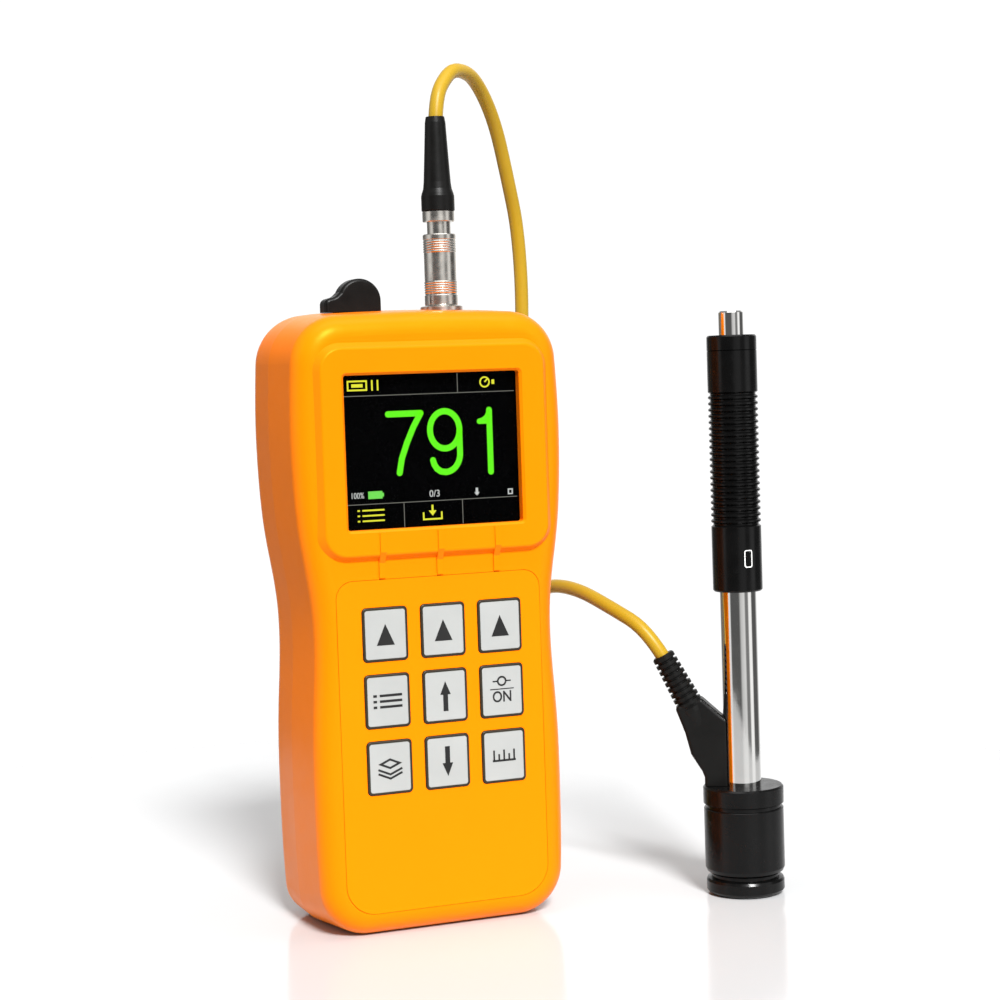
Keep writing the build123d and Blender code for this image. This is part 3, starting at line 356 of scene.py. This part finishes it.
def coil_points():
    """The turns of the coil, wound clockwise: three side by side, three on them, one on top."""
    steps = [  # turned angle where a move starts and ends, and the radius and height that it leads to
        (0, 60, 24.9, 1.8),
        (360, 420, 21.2, 1.8),
        (720, 780, 17.5, 1.8),
        (1020, 1080, 17.5, 5.4),
        (1320, 1380, 21.2, 5.4),
        (1680, 1740, 24.7, 5.4),
        (1980, 2040, 22.9, 8.9),
        (2350, 2420, 21.1, 12.4),
    ]
    found, step = [], 22.0
    turned = 18.0
    while turned < 2409.0:
        r, z = 28.1, 1.8
        for a, b, r1, z1 in steps:
            k = smooth((turned - a) / (b - a))
            r, z = r + (r1 - r) * k, z + (z1 - z) * k
        found.append(on_coil(r / 0.982, 290 - turned, z))
        turned += step
    return found


def before(point, degrees, distance):
    a = math.radians(degrees)
    return (point[0] - math.sin(a) * distance, point[1] + math.cos(a) * distance, point[2])


coil_in, coil_out = on_coil(28.1, 290, cord_d / 2), on_coil(21.1, 30, 12.4)
route = (
    upper_route
    + [before(coil_in, 290, 9.0), coil_in]
    + coil_points()
    + [coil_out, before(coil_out, 30, -9.0)]
    + lower_route[::-1]
)


def spline(name, points, radius, around=7, along=8):
    data = bpy.data.curves.new(name, "CURVE")
    data.dimensions = "3D"
    s = data.splines.new("NURBS")
    s.points.add(len(points) - 1)
    for p, at in zip(s.points, points):
        p.co = (at[0] * MM, at[1] * MM, at[2] * MM, 1.0)
    s.order_u = 3
    s.use_endpoint_u = True
    s.resolution_u = along
    data.bevel_depth = radius * MM
    data.bevel_resolution = around
    data.use_fill_caps = True
    data.resolution_u = along
    obj = bpy.data.objects.new(name, data)
    scene.collection.objects.link(obj)
    return obj


cord = spline("probe_cord", route, cord_d / 2, around=6, along=7)
cord.data.materials.append(mats["cord_yellow"])
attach(cord, "instrument")
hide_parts("cord_upper", "cord_coil", "cord_lower")


# ------------------------------------------------------------------ mesh helpers
def mesh_object(name, verts, faces, mat, body, smooth_shade=False):
    me = bpy.data.meshes.new(name)
    me.from_pydata([Vector(v) * MM for v in verts], [], faces)
    me.update()
    bm = bmesh.new()
    bm.from_mesh(me)
    bmesh.ops.recalc_face_normals(bm, faces=bm.faces)
    bm.to_mesh(me)
    bm.free()
    obj = bpy.data.objects.new(name, me)
    scene.collection.objects.link(obj)
    me.materials.append(mat)
    if smooth_shade:
        me.polygons.foreach_set("use_smooth", [True] * len(me.polygons))
    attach(obj, body)
    return obj


def outline_mesh(loops, thick, offset=0.0):
    """A flat plate from closed (x, z) loops, inner loops being holes, as a mesh about the XY plane."""
    data = bpy.data.curves.new("loops", "CURVE")
    data.dimensions = "2D"
    data.fill_mode = "BOTH"
    for loop in loops:
        s = data.splines.new("POLY")
        s.points.add(len(loop) - 1)
        for p, (x, z) in zip(s.points, loop):
            p.co = (x, z, 0, 1)
        s.use_cyclic_u = True
    data.extrude = thick / 2
    data.offset = offset
    tmp = bpy.data.objects.new("tmp", data)
    scene.collection.objects.link(tmp)
    bpy.context.view_layer.update()
    me = bpy.data.meshes.new_from_object(tmp)
    bpy.data.objects.remove(tmp)
    return me


def text_mesh(text, size, thick, bold=0.0, squeeze=1.0, align="CENTER"):
    data = bpy.data.curves.new("text", "FONT")
    data.body = text
    data.size = size
    data.align_x = align
    data.align_y = "CENTER"
    data.extrude = thick / 2
    data.offset = bold
    data.resolution_u = 6
    tmp = bpy.data.objects.new("tmp", data)
    tmp.scale = (squeeze, 1, 1)
    scene.collection.objects.link(tmp)
    bpy.context.view_layer.update()
    me = bpy.data.meshes.new_from_object(tmp)
    me.transform(Matrix.Diagonal((squeeze, 1, 1, 1)))
    bpy.data.objects.remove(tmp)
    return me


def placed(name, meshes, y, mat, body):
    """Joins flat meshes, given as (mesh, x, z) in mm, into one piece that faces the front at depth y."""
    bm = bmesh.new()
    for me, x, z in meshes:
        me.transform(Matrix(((1, 0, 0, x), (0, 0, -1, y), (0, 1, 0, z), (0, 0, 0, 1))))
        bm.from_mesh(me)
    bmesh.ops.remove_doubles(bm, verts=bm.verts, dist=0.0005)
    bmesh.ops.scale(bm, vec=(MM, MM, MM), verts=bm.verts)
    bmesh.ops.recalc_face_normals(bm, faces=bm.faces)
    out = bpy.data.meshes.new(name)
    bm.to_mesh(out)
    bm.free()
    out.materials.clear()
    out.materials.append(mat)
    obj = bpy.data.objects.new(name, out)
    scene.collection.objects.link(obj)
    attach(obj, body)
    return obj


def rect(x0, z0, x1, z1):
    return [(x0, z0), (x1, z0), (x1, z1), (x0, z1)]


def rounded(x0, z0, x1, z1, r, n=6):
    out = []
    for cx, cz, a0 in ((x1 - r, z1 - r, 0), (x0 + r, z1 - r, 90), (x0 + r, z0 + r, 180), (x1 - r, z0 + r, 270)):
        for k in range(n + 1):
            a = math.radians(a0 + 90 * k / n)
            out.append((cx + r * math.cos(a), cz + r * math.sin(a)))
    return out


def circle(cx, cz, r, n=32):
    return [(cx + r * math.cos(2 * math.pi * k / n), cz + r * math.sin(2 * math.pi * k / n)) for k in range(n)]


def stroke(points, width):
    """A band of even width along a line of (x, z) points, with square ends and mitred turns."""
    left, right = [], []
    for i, p in enumerate(points):
        a = points[max(0, i - 1)]
        b = points[min(len(points) - 1, i + 1)]
        d = []
        for q, r in ((a, p), (p, b)):
            dx, dz = r[0] - q[0], r[1] - q[1]
            long = math.hypot(dx, dz)
            if long > 1e-9:
                d.append((dx / long, dz / long))
        tx, tz = sum(v[0] for v in d) / len(d), sum(v[1] for v in d) / len(d)
        long = math.hypot(tx, tz)
        nx, nz = -tz / long / long, tx / long / long
        left.append((p[0] + nx * width / 2, p[1] + nz * width / 2))
        right.append((p[0] - nx * width / 2, p[1] - nz * width / 2))
    return left + right[::-1]


def pen(points, width, n=9):
    """The same band with round ends."""
    flat = stroke(points, width)
    half = len(flat) // 2
    ends = []
    for p, q in ((points[-1], points[-2]), (points[0], points[1])):
        a0 = math.atan2(p[1] - q[1], p[0] - q[0]) + math.pi / 2
        ends.append([(p[0] + width / 2 * math.cos(a0 - math.pi * k / n), p[1] + width / 2 * math.sin(a0 - math.pi * k / n))
                     for k in range(1, n)])
    return flat[:half] + ends[0] + flat[half:] + ends[1]


# ------------------------------------------------------------------ what the keys carry
INK = 0.024
key_front = -19.35 - INK / 2 - 0.002
px, pz = 14.55, 15.88
key_x = {0: 0.5 - px, 1: 0.5, 2: 0.5 + px}
key_z = {0: 56.15 + pz, 1: 56.15, 2: 56.15 - pz}


def key_print(name, body, col, row, loops=(), meshes=()):
    made = [(outline_mesh([lp] if isinstance(lp[0], tuple) else lp, INK), key_x[col], key_z[row]) for lp in loops]
    made += [(me, key_x[col] + dx, key_z[row] + dz) for me, dx, dz in meshes]
    return placed(name, made, key_front, ink_black, body)


triangle = [(-2.25, -2.6), (2.25, -2.6), (0.0, 2.5)]
for i, body in enumerate(("soft_key_left", "soft_key_middle", "soft_key_right")):
    key_print("print_" + body, body, i, 0, [triangle])
arrow_up = [(-0.62, -3.7), (0.62, -3.7), (0.62, 0.3), (1.35, 0.3), (0.0, 3.5), (-1.35, 0.3), (-0.62, 0.3)]
key_print("print_up_key", "up_key", 1, 1, [arrow_up])
key_print("print_down_key", "down_key", 1, 2, [[(x, -z) for x, z in arrow_up[::-1]]])
# mode: a list with its markers; material: a stack of layers; scale: a graduated bar
key_print("print_mode_key", "mode_key", 0, 1, [
    *[rect(-3.6, z - 0.3, -2.7, z + 0.3) for z in (1.35, 0.0, -1.35)],
    *[rect(-2.0, z - 0.3, 3.6, z + 0.3) for z in (1.35, 0.0, -1.35)],
])
key_print("print_material_key", "material_key", 0, 2, [
    [[(-3.0, 0.9), (0.0, 2.2), (3.0, 0.9), (0.0, -0.4)], [(-1.7, 0.9), (0.0, 0.15), (1.7, 0.9), (0.0, 1.65)]],
    stroke([(-3.0, -0.35), (0.0, -1.65), (3.0, -0.35)], 0.5),
    stroke([(-3.0, -1.35), (0.0, -2.65), (3.0, -1.35)], 0.5),
])
key_print("print_scale_key", "scale_key", 2, 2, [
    rect(-3.0, -1.35, 3.0, -0.85),
    *[rect(x - 0.22, -0.95, x + 0.22, 1.5 if abs(x) in (0.0, 2.6) else 0.5) for x in (-2.6, -1.3, 0.0, 1.3, 2.6)],
])
# power and calibrate: a target over a line, and ON under it
key_print("print_power_key", "power_key", 2, 1, [
    rect(-3.1, 0.30, 3.1, 0.56),
    [circle(0.0, 2.35, 1.25), circle(0.0, 2.35, 0.8)],
    rect(-2.35, 2.18, -1.15, 2.52),
    rect(1.15, 2.18, 2.35, 2.52),
], [(text_mesh("ON", 3.7, INK, bold=0.07, squeeze=0.86), 0.0, -1.55)])


# ------------------------------------------------------------------ what the display shows
screen_y = -17.0 - 0.03
T = 0.02


def show(name, mat, loops=(), meshes=()):
    made = [(outline_mesh([lp] if isinstance(lp[0], tuple) else lp, T), 0.0, 0.0) for lp in loops]
    return placed(name, made + list(meshes), screen_y, mat, "instrument")


def arc(cx, cz, rx, rz, a0, a1, n=40):
    return [(cx + rx * math.cos(math.radians(a0 + (a1 - a0) * k / n)),
             cz + rz * math.sin(math.radians(a0 + (a1 - a0) * k / n))) for k in range(n + 1)]


W = 1.5
seven = pen([(-10.68, 123.87), (-2.5, 123.87)], W)
seven_leg = pen([(-2.5, 123.87), (-4.45, 120.6), (-6.15, 116.99), (-7.6, 113.2), (-8.26, 109.88)], W)
nine_ring = [
    arc(3.49, 119.65, 4.5, 5.2, 0, 360 - 9, 48),
    arc(3.49, 119.65, 3.0, 3.7, 0, 360 - 9, 48),
]
nine_tail = pen([(7.2, 119.5)] + arc(3.4, 113.95, 3.8, 4.4, 0, -90, 14)
                + [(2.2, 109.75), (1.2, 110.45), (0.55, 111.45), (0.26, 112.51)], W)
one = pen([(15.0, 124.0), (15.0, 109.13)], W)
one_flag = [(15.0, 124.5), (14.35, 123.84), (14.1, 123.2), (13.85, 122.77), (13.4, 122.4), (12.9, 122.13), (12.2, 121.98),
            (11.85, 121.7), (11.75, 121.3), (11.9, 120.9), (12.25, 120.7), (15.0, 120.7)]
show("digits_seven", lit_green, [seven])
show("digits_seven_leg", lit_green, [seven_leg])
show("digits_nine", lit_green, [nine_ring])
show("digits_nine_tail", lit_green, [nine_tail])
show("digits_one", lit_green, [one])
show("digits_one_flag", lit_green, [one_flag])
show("rules", lit_line, [
    rect(-22.3, 128.32, 21.6, 128.50),
    rect(7.0, 128.50, 7.18, 133.1),
    rect(-22.3, 102.75, 21.6, 102.93),
    rect(-7.55, 97.0, -7.37, 102.75),
    rect(7.3, 97.0, 7.48, 102.75),
])


def pixel_letterless(x, z, w, h, bars):
    """A small sign of upright and level bars, in the place of a word."""
    return [rect(x + a * w, z + b * h, x + c * w, z + d * h) for a, b, c, d in bars]


# header: a block of metal and a unit sign; foot: a list and a tray with an arrow
show("sign_sample", lit_yellow, [
    [rect(-20.6, 129.6, -15.6, 132.1), rect(-20.2, 130.0, -16.0, 131.7)],
    rect(-19.5, 130.45, -16.7, 131.25),
    rect(-14.6, 129.6, -14.2, 132.1),
    rect(-13.2, 129.6, -12.8, 132.1),
])
show("sign_unit", lit_yellow, [
    [circle(14.1, 130.75, 1.35), circle(14.1, 130.75, 0.98)],
    stroke([(14.1, 130.75), (14.9, 131.55)], 0.36),
    rect(15.9, 130.2, 16.6, 131.3),
])
show("sign_list", lit_yellow, [rect(-17.9, z, -12.4, z + 0.38) for z in (98.7, 99.95, 101.2)]
     + [rect(-19.1, z, -18.5, z + 0.38) for z in (98.7, 99.95, 101.2)])
show("sign_store", lit_yellow, [
    stroke([(-2.6, 100.2), (-2.6, 98.5), (2.0, 98.5), (2.0, 100.2)], 0.4),
    [(-0.55, 101.9), (-0.05, 101.9), (-0.05, 100.55), (0.7, 100.55), (-0.3, 99.3), (-1.3, 100.55), (-0.55, 100.55)],
])
show("sign_battery", lit_battery, [
    rect(-16.3, 104.05, -12.75, 105.85),
    rect(-12.75, 104.5, -12.4, 105.4),
])
show("sign_percent", lit_white, meshes=[
    (text_mesh("100%", 2.0, T, bold=0.01, squeeze=0.78), -19.0, 104.9),
    (text_mesh("0/3", 2.3, T, bold=0.01, squeeze=0.95), 0.4, 104.5),
])
show("sign_arrow", lit_white, [
    [(10.9, 105.4), (11.5, 105.4), (11.5, 104.35), (11.9, 104.35), (11.2, 103.5), (10.5, 104.35), (10.9, 104.35)],
    [rect(19.2, 103.4, 20.5, 104.8), rect(19.5, 103.7, 20.2, 104.5)],
])

# ------------------------------------------------------------------ a small window mark on the loading tube
probe = (78.8, -21.4)
out_dir, right_dir = (-0.46768, -0.88390), (0.88390, -0.46768)


def on_tube(angle, z, r):
    a = math.radians(angle)
    return (
        probe[0] + r * (math.cos(a) * out_dir[0] + math.sin(a) * right_dir[0]),
        probe[1] + r * (math.cos(a) * out_dir[1] + math.sin(a) * right_dir[1]),
        z,
    )


def along(loop, steps=6):
    """The same loop with each of its runs divided, so that it can follow a curved surface."""
    out = []
    for a, b in zip(loop, loop[1:] + loop[:1]):
        out += [(a[0] + (b[0] - a[0]) * k / steps, a[1] + (b[1] - a[1]) * k / steps) for k in range(steps)]
    return out


def tube_ring_mark(name, a0, a1, z0, z1, width, r, body, mat):
    """A rounded outline printed on the tube between two angles and two heights."""
    per = 180.0 / (math.pi * r)
    rad = 0.55
    outer = along(rounded(a0 / per, z0, a1 / per, z1, rad, 5))
    inner = along(rounded(a0 / per + width, z0 + width, a1 / per - width, z1 - width, rad - width * 0.7, 5))
    verts, faces = [], []
    for s, z in outer + inner:
        verts.append(on_tube(s * per, z, r + 0.03))
    for s, z in outer + inner:
        verts.append(on_tube(s * per, z, r + 0.001))
    n = len(outer)
    for k in range(n):
        j = (k + 1) % n
        faces.append((k, j, n + j, n + k))
        faces.append((2 * n + k, 3 * n + k, 3 * n + j, 2 * n + j))
        faces.append((k, 2 * n + k, 2 * n + j, j))
        faces.append((n + k, n + j, 3 * n + j, 3 * n + k))
    return mesh_object(name, verts, faces, mat, body)


tube_ring_mark("tube_mark", 17.0, 37.0, 82.5, 86.9, 0.27, 6.22, "loading_tube", ink_white)


# ------------------------------------------------------------------ tie round the coil
def make_tie():
    """A fabric band round the bundle of turns, drawn in against them."""
    angle = math.radians(128)
    c, s = math.cos(angle), math.sin(angle)
    section = [(15.6, 0.05), (19.3, 0.03), (23.0, 0.03), (26.2, 0.05), (27.1, 1.0), (27.3, 3.4), (27.0, 6.2),
               (26.2, 7.6), (25.1, 9.6), (24.0, 11.1), (22.2, 11.35), (20.6, 10.6), (18.6, 8.4), (16.6, 7.6),
               (15.4, 6.6), (15.1, 4.0), (15.2, 1.1)]
    half, thick = 3.0, 0.55
    n = len(section)
    verts, faces = [], []
    cx = sum(p[0] for p in section) / n
    cz = sum(p[1] for p in section) / n
    rows = [(-half, 0.0), (-half, 1.0), (half, 1.0), (half, 0.0)]
    for along, lift in rows:
        for r, z in section:
            k = 1.0 - thick * (1 - lift) / max(1e-6, math.hypot(r - cx, z - cz))
            rr, zz = cx + (r - cx) * k, max(0.04, cz + (z - cz) * k)
            x = coil_centre[0] + rr * c - along * s
            y = coil_centre[1] + rr * s + along * c
            verts.append((x, y, zz))
    for row in range(4):
        a, b = row * n, ((row + 1) % 4) * n
        for k in range(n):
            j = (k + 1) % n
            faces.append((a + k, a + j, b + j, b + k))
    obj = mesh_object("coil_tie", verts, faces, black_tie, "instrument", True)
    bev = obj.modifiers.new("soft", "BEVEL")
    bev.width, bev.segments, bev.limit_method = 0.00012, 2, "ANGLE"
    return obj


tie = make_tie()


# ------------------------------------------------------------------ stage and light
def make_stage():
    me = bpy.data.meshes.new("floor")
    size, n = 0.27, 128
    rim = [(size * math.cos(2 * math.pi * k / n), size * math.sin(2 * math.pi * k / n), 0) for k in range(n)]
    me.from_pydata(rim, [], [tuple(range(n))])
    floor = bpy.data.objects.new("floor", me)
    scene.collection.objects.link(floor)
    floor.location.z = -0.0002
    n = Nodes("floor")
    n.bsdf.inputs["Specular IOR Level"].default_value = 0.35
    n.bsdf.inputs["IOR"].default_value = 1.45
    n.link(n.mix(n.ramp(n.noise(3.0, 3.0), 0.3, 0.7, 0.0, 1.0), (0.575, 0.578, 0.582, 1), (0.585, 0.588, 0.592, 1)),
           n.bsdf.inputs["Base Color"])
    n.link(n.ramp(n.noise(40.0, 3.0), 0.3, 0.7, 0.13, 0.17), n.bsdf.inputs["Roughness"])
    me.materials.append(n.mat)


def make_world():
    """A studio seen as a band of light and dark round the object: white behind it, softboxes at the
    sides and dark cloth between them, which is what the polished tube mirrors."""
    world = bpy.data.worlds.new("world")
    scene.world = world
    world.use_nodes = True
    t = world.node_tree
    bg = t.nodes["Background"]
    coord = t.nodes.new("ShaderNodeTexCoord")

    def dot(x, y):
        n = t.nodes.new("ShaderNodeVectorMath")
        n.operation = "DOT_PRODUCT"
        n.inputs[1].default_value = (x, y, 0.0)
        t.links.new(coord.outputs["Generated"], n.inputs[0])
        return n.outputs["Value"]

    def maths(op, a, b):
        n = t.nodes.new("ShaderNodeMath")
        n.operation = op
        for socket, v in zip(n.inputs, (a, b)):
            if hasattr(v, "is_linked"):
                t.links.new(v, socket)
            else:
                socket.default_value = v
        return n.outputs[0]

    side = dot(0.92980, -0.36808)
    near = dot(-0.36808, -0.92980)
    turn = maths("ADD", maths("DIVIDE", maths("ARCTAN2", side, near), 2 * math.pi), 0.5)
    ramp = t.nodes.new("ShaderNodeValToRGB")
    t.links.new(turn, ramp.inputs["Fac"])
    band = [  # bearing in degrees, 0 towards the camera and positive to its right, and the light there
        (-180, 1.06), (-163, 1.06), (-152, 0.30), (-142, 0.18), (-112, 0.18), (-94, 0.60), (-82, 1.05), (-62, 1.05), (-55, 0.12),
        (-4, 0.12), (8, 0.70), (30, 0.90), (38, 0.25), (54, 0.25), (62, 1.20), (78, 1.20), (86, 0.12), (122, 0.12),
        (136, 0.60), (150, 1.06), (180, 1.06),
    ]
    els = ramp.color_ramp.elements
    for k, (a, v) in enumerate(band):
        at = a / 360.0 + 0.5
        e = els[0] if k == 0 else els[-1] if k == len(band) - 1 else els.new(at)
        e.position = at
        e.color = (v, v, v, 1.0)
    # overhead the band gives way to an even ceiling
    sep = t.nodes.new("ShaderNodeSeparateXYZ")
    t.links.new(coord.outputs["Generated"], sep.inputs[0])
    up = t.nodes.new("ShaderNodeMapRange")
    up.interpolation_type = "SMOOTHSTEP"
    up.inputs["From Min"].default_value = 0.42
    up.inputs["From Max"].default_value = 0.75
    t.links.new(sep.outputs["Z"], up.inputs["Value"])
    mix = t.nodes.new("ShaderNodeMix")
    mix.data_type = "RGBA"
    t.links.new(up.outputs["Result"], mix.inputs["Factor"])
    t.links.new(ramp.outputs["Color"], mix.inputs[6])
    mix.inputs[7].default_value = (CEILING, CEILING, CEILING, 1.0)
    t.links.new(mix.outputs[2], bg.inputs["Color"])
    bg.inputs["Strength"].default_value = 1.0


def area(name, at, to, size, power, size_y=None, colour=(1, 1, 1)):
    data = bpy.data.lights.new(name, "AREA")
    data.shape = "RECTANGLE"
    data.size, data.size_y = size, size_y or size
    data.energy = power
    data.color = colour
    obj = bpy.data.objects.new(name, data)
    scene.collection.objects.link(obj)
    obj.location = at
    obj.rotation_euler = (Vector(to) - Vector(at)).to_track_quat("-Z", "Y").to_euler()
    return obj


def sun(name, direction, strength, angle):
    data = bpy.data.lights.new(name, "SUN")
    data.energy = strength
    data.angle = math.radians(angle)
    obj = bpy.data.objects.new(name, data)
    scene.collection.objects.link(obj)
    obj.rotation_euler = Vector(direction).to_track_quat("-Z", "Y").to_euler()
    return obj


CEILING = 0.34
make_stage()
make_world()
sun("key", (0.07, 0.76, -0.67), 5.7, 14)
area("overhead", (0.02, -0.10, 0.62), (0.02, 0.0, 0.12), 0.55, 1.0, 0.22)
